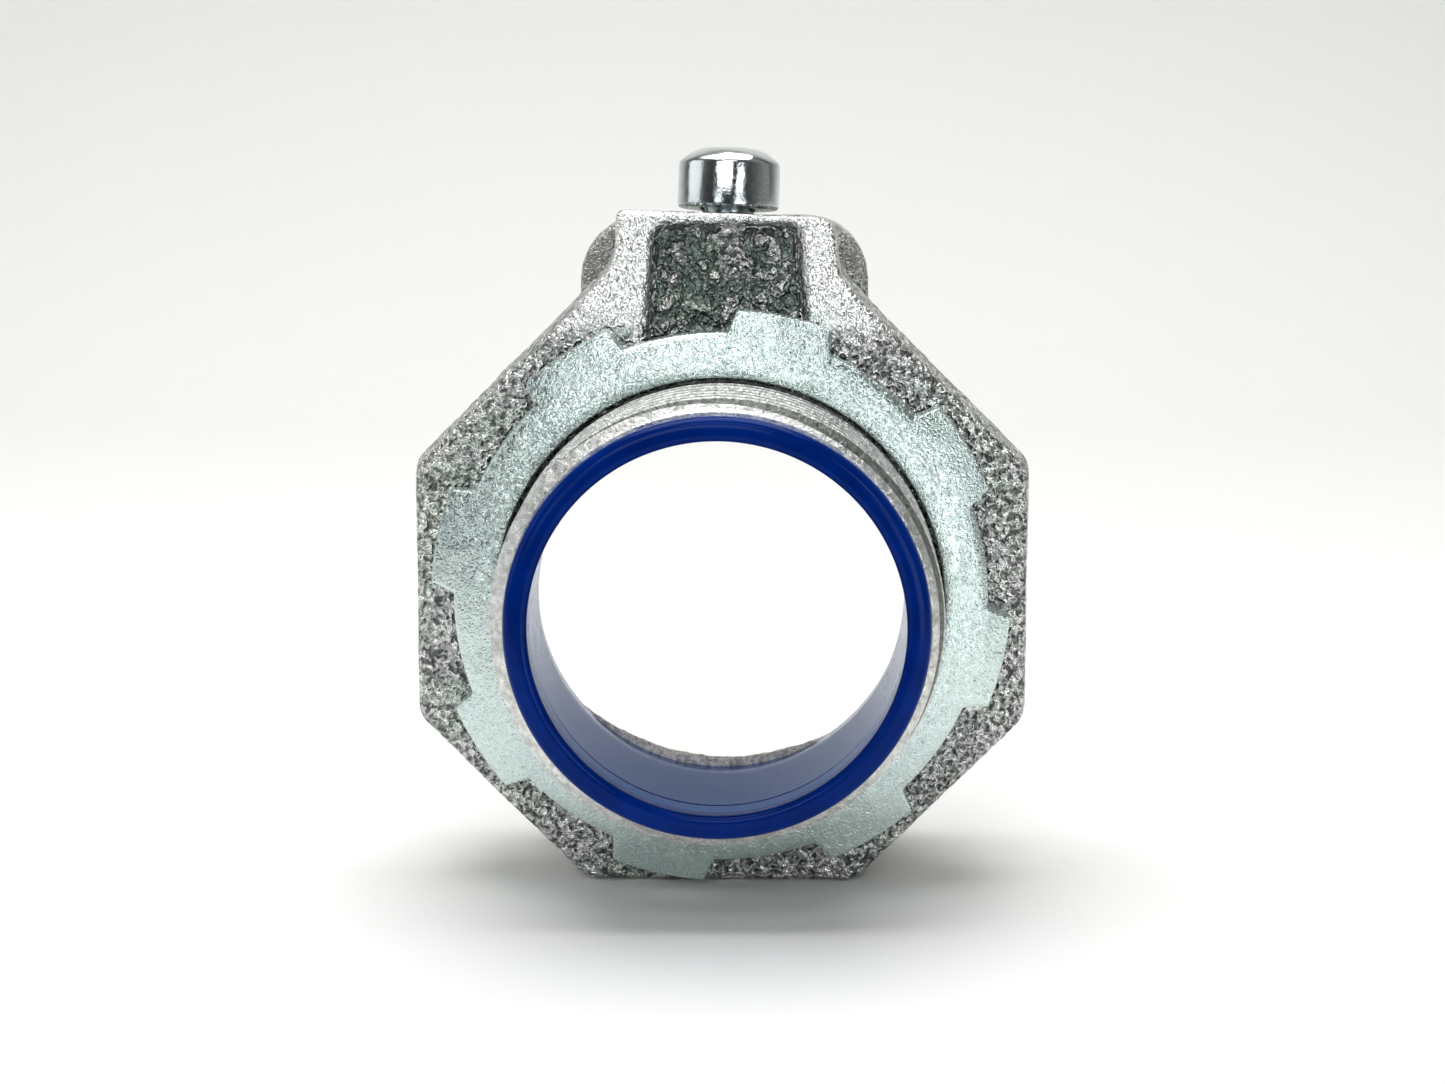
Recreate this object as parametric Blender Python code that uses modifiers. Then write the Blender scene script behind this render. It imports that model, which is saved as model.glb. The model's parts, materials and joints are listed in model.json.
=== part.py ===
"""Saddle connector for flexible conduit: casting, insulated throat, locknut, saddle and screw.

Metres, +Z up. The hub axis runs along Y and the threaded hub points to -Y. Shapes are drawn
in the hub frame: x across, y behind the collar's front face, z above the hub axis.
"""

import math

import bmesh
import bpy

# Overall sizes
THREAD_D = 0.0426  # outside diameter of the hub thread
HUB_REACH = 0.0196  # collar front face to the front of the throat lip
BARREL_REACH = 0.0219  # collar front face to the rear of the barrel
COLLAR_DEPTH = 0.0114  # thickness of the octagonal collar
COLLAR_FLANGE = 0.0090  # collar flat beyond the hub thread
BOTTOM_TRIM = 0.0013  # the bottom flat is this much nearer the hub axis than the others
BARREL_WALL = 0.0032  # wall around the conduit
GAP = 0.0003  # clearance between pieces that mate

# Throat insulator
THROAT_D = 0.0351  # clear bore at the front
THROAT_FLARE = 0.00155  # how much wider the bore is at its rear end
SLEEVE_REAR = 0.00485  # rear end of the sleeve behind the collar face
LIP_LENGTH = 0.0021
END_STOP = 0.0062  # shoulder the conduit end meets

# Locknut
NUT_DEPTH = 0.0043
NUT_DISH = 0.0017  # how far the lugs lean back from the middle
LUG_COUNT = 8
LUG_TURN = math.radians(77.3)  # angle of the first lug, from +X towards +Z

# Neck and screw
NECK_HALF = 0.0109
NECK_RISE = 0.00705  # neck top above the collar flat, at the front
NECK_OFFSET = 0.0005  # the cast neck sits this far to the right of the hub axis
NECK_SLOPE = math.radians(5.0)  # the neck top falls this much to the rear
NECK_DROOP = math.radians(2.0)  # and this much to the right
NECK_LEAN = math.radians(12.0)  # the neck's front face leans back
NECK_BREAK = 0.0025  # the lean starts this far below the collar's flat
BOSS_DEPTH = 0.0156
POCKET_DEPTH = 0.0021
SCREW_D = 0.00635
HEAD_D = 0.01006
HEAD_H = 0.0060
SCREW_Y = 0.0100  # screw axis behind the collar face, at the head
SCREW_BACK = math.radians(7.5)  # lean towards the rear
SCREW_SIDE = math.radians(1.7)  # lean towards the right
STANDOFF = 0.0005  # gap left under the head

# Saddle
SADDLE_HALF = 0.0146
SADDLE_RISE = 0.0055  # saddle top above the collar flat
SADDLE_WALL = 0.0025
SADDLE_CORNER = 0.0062
TONGUE_HALF = 0.0063
TONGUE_FRONT = 0.0048
TONGUE_THICK = 0.0049
TRAVEL = 0.0048  # how far the screw lifts the saddle

# Sizes that follow from the ones above
HUB_R = THREAD_D / 2
CONDUIT_R = HUB_R + 0.0007
BARREL_R = CONDUIT_R + BARREL_WALL
COLLAR_HALF = HUB_R + COLLAR_FLANGE
COLLAR_BASE = COLLAR_HALF - BOTTOM_TRIM
THROAT_R = THROAT_D / 2
SLEEVE_R = THROAT_R + 0.0009
FLARE_R = THROAT_R + THROAT_FLARE + 0.0002
HUB_END = -(HUB_REACH - LIP_LENGTH - GAP)
LUG_R = HUB_R + 0.0069
VALLEY_R = HUB_R + 0.0047
NUT_BORE_R = HUB_R + 0.00035
SCREW_R = SCREW_D / 2
HEAD_R = HEAD_D / 2
NECK_TOP = COLLAR_HALF + NECK_RISE
HEAD_Z = NECK_TOP - SCREW_Y * math.tan(NECK_SLOPE) + STANDOFF
SADDLE_R = CONDUIT_R - 0.0007
SADDLE_TOP = COLLAR_HALF + SADDLE_RISE
SADDLE_FRONT = BOSS_DEPTH + 0.0004
SADDLE_REAR = BARREL_REACH - 0.0004
TONGUE_TOP = SADDLE_R + TONGUE_THICK
CAVITY_TOP = TONGUE_TOP + TRAVEL + 0.0004
SWIVEL = (HEAD_Z - TONGUE_TOP) / math.cos(SCREW_BACK)  # head to tongue, along the screw
FLANGE = 0.0016  # tongue metal over the screw's foot
FOOT_H = 0.0012

HUB_ORIGIN = (0.0, HUB_REACH - (HUB_REACH + BARREL_REACH) / 2, COLLAR_BASE)
ALONG_HUB = (-math.pi / 2, 0.0, 0.0)  # turns a piece's own Z to +Y


def clear_scene():
    for item in list(bpy.data.objects):
        bpy.data.objects.remove(item, do_unlink=True)


def collection(name):
    group = bpy.data.collections.new(name)
    bpy.context.scene.collection.children.link(group)
    return group


def material(name, colour, metallic, roughness):
    made = bpy.data.materials.new(name)
    made.use_nodes = True
    shader = made.node_tree.nodes["Principled BSDF"]
    shader.inputs["Base Color"].default_value = (*colour, 1.0)
    shader.inputs["Metallic"].default_value = metallic
    shader.inputs["Roughness"].default_value = roughness
    return made


def place(name, mesh, group, turn=(0.0, 0.0, 0.0), parent=None):
    item = bpy.data.objects.new(name, mesh)
    group.objects.link(item)
    item.rotation_euler = turn
    if parent is None:
        item.location = HUB_ORIGIN
    else:
        item.parent = parent
    return item


def construct(name, mesh, turn=(0.0, 0.0, 0.0), parent=None):
    """A shape that only cuts or joins another one."""
    item = place(name, mesh, CONSTRUCTION, turn, parent)
    item.hide_render = True
    item.display_type = "WIRE"
    return item


def loft(name, rings):
    """A closed solid through rings that all have the same number of points."""
    body = bmesh.new()
    rows = [[body.verts.new(point) for point in ring] for ring in rings]
    count = len(rows[0])
    for near, far in zip(rows, rows[1:]):
        for i in range(count):
            j = (i + 1) % count
            body.faces.new((near[i], near[j], far[j], far[i]))
    body.faces.new(rows[0])
    body.faces.new(rows[-1])
    bmesh.ops.recalc_face_normals(body, faces=body.faces)
    mesh = bpy.data.meshes.new(name)
    body.to_mesh(mesh)
    body.free()
    return mesh


def profile(name, points, closed):
    """A line of (radius, height) points for the Screw modifier."""
    mesh = bpy.data.meshes.new(name)
    edges = [(i, i + 1) for i in range(len(points) - 1)]
    if closed:
        edges.append((len(points) - 1, 0))
    mesh.from_pydata([(r, 0.0, h) for r, h in points], edges, [])
    return mesh


def spin(item, steps=96):
    turn = item.modifiers.new("Turned", "SCREW")
    turn.axis = "Z"
    turn.angle = math.tau
    turn.screw_offset = 0.0
    turn.steps = steps
    turn.render_steps = steps
    turn.use_merge_vertices = True
    turn.merge_threshold = 0.00001
    turn.use_normal_calculate = False
    return item


def boolean(item, operation, other):
    step = item.modifiers.new(other.name, "BOOLEAN")
    step.operation = operation
    step.solver = "EXACT"
    step.object = other


def soften(item, angle=35.0):
    """Smooth shading that keeps edges sharper than the angle."""
    for face in item.data.polygons:
        face.use_smooth = True
    tidy = item.modifiers.new("Weighted normals", "WEIGHTED_NORMAL")
    tidy.keep_sharp = True
    item.data.set_sharp_from_angle(angle=math.radians(angle))


def fillet(corners, steps=4):
    """Turn (x, z, radius) corners into an outline with rounded corners."""
    outline = []
    for i, (x, z, radius) in enumerate(corners):
        if radius <= 0:
            outline.append((x, z))
            continue
        back = corners[i - 1]
        ahead = corners[(i + 1) % len(corners)]
        ux, uz = back[0] - x, back[1] - z
        vx, vz = ahead[0] - x, ahead[1] - z
        u_len, v_len = math.hypot(ux, uz), math.hypot(vx, vz)
        ux, uz, vx, vz = ux / u_len, uz / u_len, vx / v_len, vz / v_len
        half = math.acos(max(-1.0, min(1.0, ux * vx + uz * vz))) / 2
        reach = min(radius / math.tan(half), 0.45 * u_len, 0.45 * v_len)
        radius = reach * math.tan(half)
        bx, bz = ux + vx, uz + vz
        b_len = math.hypot(bx, bz)
        out = radius / math.sin(half)
        cx, cz = x + bx / b_len * out, z + bz / b_len * out
        start = math.atan2(z + uz * reach - cz, x + ux * reach - cx)
        end = math.atan2(z + vz * reach - cz, x + vx * reach - cx)
        sweep = (end - start + math.pi) % math.tau - math.pi
        for k in range(steps + 1):
            angle = start + sweep * k / steps
            outline.append((cx + radius * math.cos(angle), cz + radius * math.sin(angle)))
    return outline


def arc(radius, start, end, steps):
    """Points on a circle about the hub axis."""
    angles = [start + (end - start) * k / steps for k in range(steps + 1)]
    return [(radius * math.cos(a), radius * math.sin(a)) for a in angles]


def at_depth(outline, y):
    return [(x, y, z) for x, z in outline]


def neck_top(x, y):
    """Height of the neck's top face."""
    fall = y * math.tan(NECK_SLOPE) + (x - NECK_OFFSET) * math.tan(NECK_DROOP)
    return NECK_TOP - fall


def neck_face(z):
    """Depth of the neck's leaning front face at a height."""
    return (z - COLLAR_HALF + NECK_BREAK) * math.tan(NECK_LEAN)


def neck_corners(y, inset):
    """The neck from its left foot to its right foot, as fillet corners.

    Its edges are trimmed half as much as the collar's.
    """
    half = NECK_HALF - inset / 2
    left, right = NECK_OFFSET - half, NECK_OFFSET + half
    diagonal = (COLLAR_HALF - inset) * math.sqrt(2)  # x plus z along the octagon's upper edges
    return [
        (left - 0.0044, diagonal + left - 0.0044, 0.0),
        (left, diagonal + left + 0.0003, 0.0043),
        (left, neck_top(left, y) - inset / 2, 0.0007),
        (right, neck_top(right, y) - inset / 2, 0.0022),
        (right, diagonal - right + 0.0003, 0.0043),
        (right + 0.0044, diagonal - right - 0.0044, 0.0),
    ]


def collar_ring(y, inset, base_inset):
    """The octagon with the neck on top, at one depth."""
    half = COLLAR_HALF - inset
    base = COLLAR_BASE - base_inset
    corner = half * math.tan(math.pi / 8)
    foot = half * math.sqrt(2) - base
    lower = [
        (half, corner, 0.0022),
        (half, -corner, 0.0022),
        (foot, -base, 0.0015),
        (-foot, -base, 0.0015),
        (-half, -corner, 0.0022),
        (-half, corner, 0.0022),
    ]
    return at_depth(fillet(neck_corners(y, inset) + lower), y)


def make_casting():
    rings = [
        collar_ring(0.0, 0.0008, 0.0005),
        collar_ring(0.0004, 0.0005, 0.0002),
        collar_ring(0.0010, 0.0004, 0.0),
        collar_ring(COLLAR_DEPTH / 2, 0.0, 0.0),
        collar_ring(COLLAR_DEPTH - 0.0010, 0.0004, 0.0),
        collar_ring(COLLAR_DEPTH - 0.0004, 0.0005, 0.0002),
        collar_ring(COLLAR_DEPTH, 0.0008, 0.0005),
    ]
    casting = place("body_casting", loft("body_casting", rings), PARTS)

    hub_line = [
        (0.0, 0.003),
        (HUB_R, 0.003),
        (HUB_R, HUB_END + 0.0011),
        (HUB_R - 0.0010, HUB_END),
        (0.0, HUB_END),
    ]
    hub = spin(construct("hub", profile("hub", hub_line, False), ALONG_HUB))

    barrel_line = [
        (0.0, BARREL_REACH),
        (BARREL_R - 0.0007, BARREL_REACH),
        (BARREL_R, BARREL_REACH - 0.0007),
        (BARREL_R, COLLAR_DEPTH - 0.003),
        (0.0, COLLAR_DEPTH - 0.003),
    ]
    barrel = spin(construct("barrel", profile("barrel", barrel_line, False), ALONG_HUB))

    low = BARREL_R - BARREL_WALL - 0.002
    boss_rings = []
    for y in (COLLAR_DEPTH - 0.004, BOSS_DEPTH + 0.0007):
        corners = neck_corners(y, 0.0012)
        feet = [(corners[-1][0], low, 0.0), (corners[0][0], low, 0.0)]
        boss_rings.append(at_depth(fillet(corners + feet), y))
    boss = construct("boss", loft("boss", boss_rings))

    bore_line = [
        (0.0, BARREL_REACH + 0.002),
        (CONDUIT_R + 0.0026, BARREL_REACH + 0.002),
        (CONDUIT_R, BARREL_REACH - 0.0006),
        (CONDUIT_R, END_STOP),
        (FLARE_R + 0.0009, END_STOP),
        (FLARE_R + 0.0009, 0.0013),
        (SLEEVE_R + GAP, -0.0006),
        (SLEEVE_R + GAP, HUB_END - 0.002),
        (0.0, HUB_END - 0.002),
    ]
    bore = spin(construct("conduit_bore", profile("conduit_bore", bore_line, False), ALONG_HUB))

    low, high = COLLAR_HALF - NECK_BREAK - 0.0005, NECK_TOP + 0.002
    lean_line = [(-0.003, low), (neck_face(low), low), (neck_face(high), high), (-0.003, high)]
    lean_rings = [[(x, y, z) for y, z in lean_line] for x in (-COLLAR_HALF, COLLAR_HALF)]
    lean = construct("neck_lean", loft("neck_lean", lean_rings))

    pocket_rings = []
    for depth, grow in ((-0.001, 0.0009), (0.0001, 0.0006), (POCKET_DEPTH, -0.0002)):
        ring = fillet(
            [
                (NECK_OFFSET - 0.0076 - grow, HUB_R + 0.0022 - grow, 0.0008),
                (NECK_OFFSET - 0.0067 - grow, NECK_TOP - 0.0017 + grow, 0.0012),
                (NECK_OFFSET + 0.0067 + grow, NECK_TOP - 0.0017 + grow, 0.0012),
                (NECK_OFFSET + 0.0076 + grow, HUB_R + 0.0022 - grow, 0.0008),
            ]
        )
        pocket_rings.append([(x, depth + neck_face(z), z) for x, z in ring])
    pocket = construct("neck_pocket", loft("neck_pocket", pocket_rings))

    cavity_half = TONGUE_HALF + 0.0006
    cavity_line = fillet(
        [
            (NECK_OFFSET - cavity_half, SADDLE_R - 0.0035, 0.0),
            (NECK_OFFSET - cavity_half, CAVITY_TOP, 0.0010),
            (NECK_OFFSET + cavity_half, CAVITY_TOP, 0.0010),
            (NECK_OFFSET + cavity_half, SADDLE_R - 0.0035, 0.0),
        ]
    )
    cavity_ends = (TONGUE_FRONT - 0.0005, BOSS_DEPTH + 0.002)
    cavity = construct("tongue_cavity", loft("cavity", [at_depth(cavity_line, y) for y in cavity_ends]))

    slot_half = SADDLE_HALF + 0.0005
    slot_line = [
        (-slot_half, SADDLE_R / 2),
        (-slot_half, SADDLE_TOP + 0.010),
        (slot_half, SADDLE_TOP + 0.010),
        (slot_half, SADDLE_R / 2),
    ]
    slot_ends = (BOSS_DEPTH, BARREL_REACH + 0.002)
    slot = construct("saddle_slot", loft("saddle_slot", [at_depth(slot_line, y) for y in slot_ends]))

    hole_line = [
        (0.0, 0.004),
        (SCREW_R + GAP, 0.004),
        (SCREW_R + GAP, TONGUE_TOP - HEAD_Z),
        (0.0, TONGUE_TOP - HEAD_Z),
    ]
    hole = spin(construct("screw_hole", profile("screw_hole", hole_line, False), parent=SCREW_AXIS), 48)

    for shape in (hub, barrel, boss):
        boolean(casting, "UNION", shape)
    for shape in (bore, lean, pocket, cavity, slot, hole):
        boolean(casting, "DIFFERENCE", shape)
    casting.data.materials.append(material("zinc_plated_iron", (0.42, 0.42, 0.41), 0.85, 0.45))
    soften(casting)
    return casting


def make_insulator():
    front = -HUB_REACH
    line = [
        (FLARE_R + 0.0006, SLEEVE_REAR),
        (FLARE_R + 0.0006, 0.0013),
        (SLEEVE_R, -0.0006),
        (SLEEVE_R, front + LIP_LENGTH),
        (SLEEVE_R + 0.0010, front + LIP_LENGTH),
        (SLEEVE_R + 0.0010, front + 0.0005),
        (SLEEVE_R + 0.0008, front + 0.0001),
        (SLEEVE_R + 0.0004, front),
        (THROAT_R + 0.0005, front),
        (THROAT_R + 0.0001, front + 0.0002),
        (THROAT_R, front + 0.0006),
        (THROAT_R, front + 0.0045),
        (THROAT_R + 0.0001, front + 0.0046),
        (THROAT_R + 0.0003, 0.0005),
        (FLARE_R - GAP, SLEEVE_REAR),
    ]
    sleeve = place("throat_insulator", profile("throat_insulator", line, True), PARTS, ALONG_HUB)
    spin(sleeve)
    sleeve.data.materials.append(material("blue_nylon", (0.0, 0.03, 0.25), 0.0, 0.3))
    soften(sleeve)
    return sleeve


def make_locknut():
    front, back = -NUT_DEPTH - GAP, -GAP
    line = [
        (LUG_R, back),
        (LUG_R, front + NUT_DISH + 0.0004),
        (LUG_R - 0.0004, front + NUT_DISH),
        (NUT_BORE_R + 0.0018, front),
        (NUT_BORE_R + 0.0007, front),
        (NUT_BORE_R, front + 0.0007),
        (NUT_BORE_R, back - NUT_DISH - 0.0003),
        (NUT_BORE_R + 0.0003, back - NUT_DISH),
    ]
    nut = place("locknut", profile("locknut", line, True), PARTS, ALONG_HUB)
    spin(nut)

    pitch = math.tau / LUG_COUNT
    inner = 0.239 * pitch
    outer = 0.296 * pitch
    floor = [(VALLEY_R * math.sin(a), VALLEY_R * math.cos(a)) for a in (-inner, -inner / 2, 0)]
    floor += [(-x, z) for x, z in reversed(floor[:-1])]
    reach = LUG_R + 0.001
    wide = reach * math.tan(outer)
    corners = [(floor[0][0], floor[0][1], 0.0009)]
    corners += [(x, z, 0.0) for x, z in floor[1:-1]]
    corners += [(floor[-1][0], floor[-1][1], 0.0009)]
    corners += [(wide, reach, 0.0), (wide, reach + 0.002, 0.0)]
    corners += [(-wide, reach + 0.002, 0.0), (-wide, reach, 0.0)]
    outline = fillet(corners, 3)
    ends = (front - 0.002, back + 0.002)
    notch_mesh = loft("locknut_notch", [at_depth(outline, y) for y in ends])
    turn = math.pi / 2 - LUG_TURN - pitch / 2
    notch = construct("locknut_notches", notch_mesh, (0.0, turn, 0.0))
    step = construct("locknut_step", None, (0.0, turn + pitch, 0.0))
    row = notch.modifiers.new("Round the nut", "ARRAY")
    row.count = LUG_COUNT
    row.use_relative_offset = False
    row.use_object_offset = True
    row.offset_object = step
    boolean(nut, "DIFFERENCE", notch)
    nut.data.materials.append(material("zinc_plated_steel", (0.62, 0.66, 0.66), 0.9, 0.3))
    soften(nut)
    return nut


def make_saddle():
    side = math.acos(SADDLE_HALF / SADDLE_R)
    block_line = fillet(
        [
            (-SADDLE_HALF, SADDLE_TOP, SADDLE_CORNER),
            (SADDLE_HALF, SADDLE_TOP, SADDLE_CORNER),
            *[(x, z, 0.0) for x, z in arc(SADDLE_R, side, math.pi - side, 20)],
        ],
        6,
    )
    ends = (SADDLE_FRONT, SADDLE_REAR)
    saddle = place("saddle", loft("saddle", [at_depth(block_line, y) for y in ends]), PARTS)

    tongue_r = SADDLE_R + GAP
    side = math.acos(TONGUE_HALF / tongue_r)
    under = arc(tongue_r, side, math.pi - side, 8)
    tongue_line = fillet(
        [
            (NECK_OFFSET - TONGUE_HALF, TONGUE_TOP, 0.0006),
            (NECK_OFFSET + TONGUE_HALF, TONGUE_TOP, 0.0006),
            *[(NECK_OFFSET + x, z, 0.0) for x, z in under],
        ]
    )
    ends = (TONGUE_FRONT, SADDLE_FRONT + 0.0012)
    tongue = construct("saddle_tongue", loft("saddle_tongue", [at_depth(tongue_line, y) for y in ends]))

    inner_half = SADDLE_HALF - SADDLE_WALL
    inner_r = SADDLE_R + SADDLE_WALL
    side = math.acos(inner_half / inner_r)
    hollow_line = fillet(
        [
            (-inner_half, SADDLE_TOP - SADDLE_WALL, SADDLE_CORNER - SADDLE_WALL),
            (inner_half, SADDLE_TOP - SADDLE_WALL, SADDLE_CORNER - SADDLE_WALL),
            *[(x, z, 0.0) for x, z in arc(inner_r, side, math.pi - side, 16)],
        ]
    )
    ends = (SADDLE_FRONT + SADDLE_WALL, SADDLE_REAR + 0.002)
    hollow = construct("saddle_hollow", loft("saddle_hollow", [at_depth(hollow_line, y) for y in ends]))

    slots = []
    for name, half, top, bottom in (
        ("foot_slot", SCREW_R + GAP, FLANGE, FLANGE + FOOT_H + 2 * GAP),
        ("shank_slot", SCREW_R - 0.0009, -0.001, FLANGE + 0.0004),
    ):
        round_end = [
            (half * math.cos(a), half * math.sin(a))
            for a in [math.pi * k / 12 for k in range(13)]
        ]
        shape = [*round_end, (-half, -0.009), (half, -0.009)]
        levels = (-SWIVEL - bottom, -SWIVEL - top)
        mesh = loft(name, [[(x, y, level) for x, y in shape] for level in levels])
        slots.append(construct(name, mesh, parent=SCREW_AXIS))

    boolean(saddle, "UNION", tongue)
    for shape in (hollow, *slots):
        boolean(saddle, "DIFFERENCE", shape)
    saddle.data.materials.append(material("bright_zinc_steel", (0.55, 0.57, 0.57), 0.9, 0.28))
    soften(saddle)
    return saddle


def make_screw():
    foot = SCREW_R - 0.0012
    shoulder = GAP + SCREW_R * math.tan(SCREW_BACK + SCREW_SIDE)  # the tongue top is level
    line = [
        (0.0, HEAD_H),
        (0.45 * HEAD_R, HEAD_H - 0.00010),
        (0.78 * HEAD_R, HEAD_H - 0.00045),
        (HEAD_R - 0.0003, HEAD_H - 0.00095),
        (HEAD_R, HEAD_H - 0.0016),
        (HEAD_R, 0.00025),
        (HEAD_R - 0.00025, 0.0),
        (SCREW_R, 0.0),
        (SCREW_R, -SWIVEL + shoulder),
        (foot, -SWIVEL + shoulder),
        (foot, -SWIVEL - FLANGE - GAP),
        (SCREW_R, -SWIVEL - FLANGE - GAP),
        (SCREW_R, -SWIVEL - FLANGE - GAP - FOOT_H),
        (0.0, -SWIVEL - FLANGE - GAP - FOOT_H),
    ]
    screw = place("clamp_screw", profile("clamp_screw", line, False), PARTS, parent=SCREW_AXIS)
    spin(screw, 64)

    half = 0.00065
    shape = [(-HEAD_R - 0.001, -half), (HEAD_R + 0.001, -half)]
    shape += [(HEAD_R + 0.001, half), (-HEAD_R - 0.001, half)]
    levels = (HEAD_H - 0.0019, HEAD_H + 0.001)
    mesh = loft("driver_slot", [[(x, y, level) for x, y in shape] for level in levels])
    slot = construct("driver_slot", mesh, (0.0, 0.0, math.radians(12.0)), SCREW_AXIS)
    boolean(screw, "DIFFERENCE", slot)
    screw.data.materials.append(material("zinc_plated_screw", (0.60, 0.65, 0.67), 0.95, 0.22))
    soften(screw)
    return screw


clear_scene()
PARTS = collection("saddle_connector")
CONSTRUCTION = collection("construction")
SCREW_AXIS = bpy.data.objects.new("screw_axis", None)
PARTS.objects.link(SCREW_AXIS)
SCREW_AXIS.location = (
    HUB_ORIGIN[0] + NECK_OFFSET,
    HUB_ORIGIN[1] + SCREW_Y,
    HUB_ORIGIN[2] + HEAD_Z,
)
SCREW_AXIS.rotation_euler = (-SCREW_BACK, SCREW_SIDE, 0.0)
make_casting()
make_insulator()
make_locknut()
make_saddle()
make_screw()
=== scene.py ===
"""The looks of a saddle connector for flexible conduit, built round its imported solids."""

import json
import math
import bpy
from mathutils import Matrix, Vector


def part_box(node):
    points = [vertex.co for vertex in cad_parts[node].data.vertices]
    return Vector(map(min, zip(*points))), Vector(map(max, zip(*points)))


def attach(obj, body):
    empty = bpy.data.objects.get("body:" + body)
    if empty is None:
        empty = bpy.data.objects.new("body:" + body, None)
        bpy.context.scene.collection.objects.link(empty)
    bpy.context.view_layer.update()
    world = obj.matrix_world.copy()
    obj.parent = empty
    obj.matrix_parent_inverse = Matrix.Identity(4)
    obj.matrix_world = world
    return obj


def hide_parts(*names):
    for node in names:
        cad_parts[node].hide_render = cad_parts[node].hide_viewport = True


bl_info = {
    "name": "Conduit Saddle Connector",
    "version": (1, 0, 0),
    "blender": (4, 5, 0),
    "location": "View3D > Sidebar > Connector",
    "description": "Builds the cast body, throat, locknut, saddle, screw and stage",
    "category": "Add Mesh",
}

import bmesh
import bpy
from mathutils import Matrix, Vector, noise
from mathutils.bvhtree import BVHTree

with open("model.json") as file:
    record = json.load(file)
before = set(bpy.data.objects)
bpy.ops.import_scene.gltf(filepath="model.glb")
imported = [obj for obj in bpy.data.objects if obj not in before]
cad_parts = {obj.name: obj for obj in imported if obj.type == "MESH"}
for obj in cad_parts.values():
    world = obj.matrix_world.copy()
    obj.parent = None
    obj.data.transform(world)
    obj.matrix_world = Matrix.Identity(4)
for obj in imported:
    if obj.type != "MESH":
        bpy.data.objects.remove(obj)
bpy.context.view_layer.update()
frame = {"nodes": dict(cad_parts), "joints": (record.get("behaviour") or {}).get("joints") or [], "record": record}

# Datums, all read from the frame
THROAT_LOW, THROAT_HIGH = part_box("throat_insulator")
AXIS = (THROAT_LOW + THROAT_HIGH) / 2  # a point on the hub axis
LIP_Y = THROAT_LOW.y
MOUNTS = {m["name"]: m for m in frame["record"]["mounts"]}
JOINTS = {j["name"]: j for j in frame["joints"]}
FACE_Y = MOUNTS["box_wall_seat"]["pos_m"][1]
SCREW_SEAT = Vector(JOINTS["screw_turn"]["pos_m"])  # on its axis, under its head
SCREW_UP = Vector(JOINTS["screw_turn"]["axis"]).normalized()

MM = 0.001
COLUMNS = 144  # faces round a turned surface
SCREW_COLUMNS = 48  # faces round the screw
THREAD_ROWS = 12  # rows of faces in one turn of a thread
GROOVE_IN = 0.00495  # middle of the sleeve's groove behind the front of the lip
POCKET_LOW, POCKET_HIGH = 0.0255, 0.0345  # two heights on the pocket's floor above the hub axis

# Camera: its place from the middle of the lip, and its angles in degrees
CAMERA_OFF = Vector((6.67, -294.67, 56.47)) * MM
CAMERA_DOWN, CAMERA_TURN = 9.27, 1.19

# Lights: name, place, width, height, watts, colour
LIGHTS = (
    ("key_above", (-0.02, 0.07, 0.60), 0.56, 0.48, 2.60, (1.0, 1.0, 1.0)),
    ("top_strip", (0.0, -0.46, 0.56), 0.30, 0.16, 0.42, (1.0, 1.0, 1.0)),
    ("front_soft", (-0.13, -0.76, 0.35), 0.44, 0.28, 1.12, (0.98, 1.0, 1.0)),
    ("right_high", (0.36, -0.68, 0.24), 0.22, 0.22, 0.42, (0.97, 1.0, 1.0)),
    ("left_front", (-0.28, -0.64, 0.09), 0.20, 0.12, 0.11, (0.95, 0.99, 1.0)),
    ("left_wall", (-0.60, -0.05, 0.22), 0.40, 0.40, 0.42, (0.95, 0.99, 1.0)),
    ("right_front", (0.24, -0.44, -0.05), 0.24, 0.24, 0.40, (0.95, 1.0, 1.0)),
    ("back_wall", (0.0, 0.10, 0.75), 0.50, 0.50, 0.28, (1.0, 1.0, 0.985)),
)
LIGHT_AIM = Vector((0.0, 0.0, 0.035))
WALL_AIM = Vector((0.0, 0.50, 0.15))  # where back_wall points


def length(name, description, default, low=0.0):
    return bpy.props.FloatProperty(
        name=name,
        description=description,
        default=default,
        min=low,
        subtype="DISTANCE",
        unit="LENGTH",
        precision=5,
    )


def colour(name, description, default):
    return bpy.props.FloatVectorProperty(
        name=name,
        description=description,
        default=default,
        size=3,
        min=0.0,
        max=1.0,
        subtype="COLOR",
    )


class CastBodySettings(bpy.types.PropertyGroup):
    grain: length("Grain", "Height of the sand-cast texture", 0.00013)
    voxel: length("Voxel", "Size of the faces on the cast surface", 0.00042, 0.0002)
    lump: length("Lump", "Radius of the raised lumps in the neck's pocket", 0.00085)
    metal: colour("Metal", "Zinc plating over cast iron", (0.80, 0.80, 0.78))
    pits: colour("Pits", "Duller zinc in the hollows", (0.16, 0.17, 0.16))
    # painted shade: the dark colour laid on the pocket floor between the lumps, where shade falls
    pocket_shade: colour("Pocket", "Dark plating on the floor of the pocket", (0.22, 0.265, 0.24))


class HubThreadSettings(bpy.types.PropertyGroup):
    pitch: length("Pitch", "Distance between crests", 0.002209)
    crest: length("Crest radius", "Radius over the crests", 0.02128)
    root: length("Root radius", "Radius at the roots", 0.02005)
    bore: length("Bore radius", "Radius inside the hub", 0.01885)
    face: length("End face", "Hub end behind the front of the lip", 0.00240)


class ThroatSettings(bpy.types.PropertyGroup):
    plastic: colour("Plastic", "Blue nylon", (0.0, 0.029, 0.215))
    # painted light: a paler blue standing in for light shining through the sleeve's thin wall
    light_through_wall: colour("Thin wall", "Nylon of the sleeve, which lets light through", (0.04, 0.14, 0.40))


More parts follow.
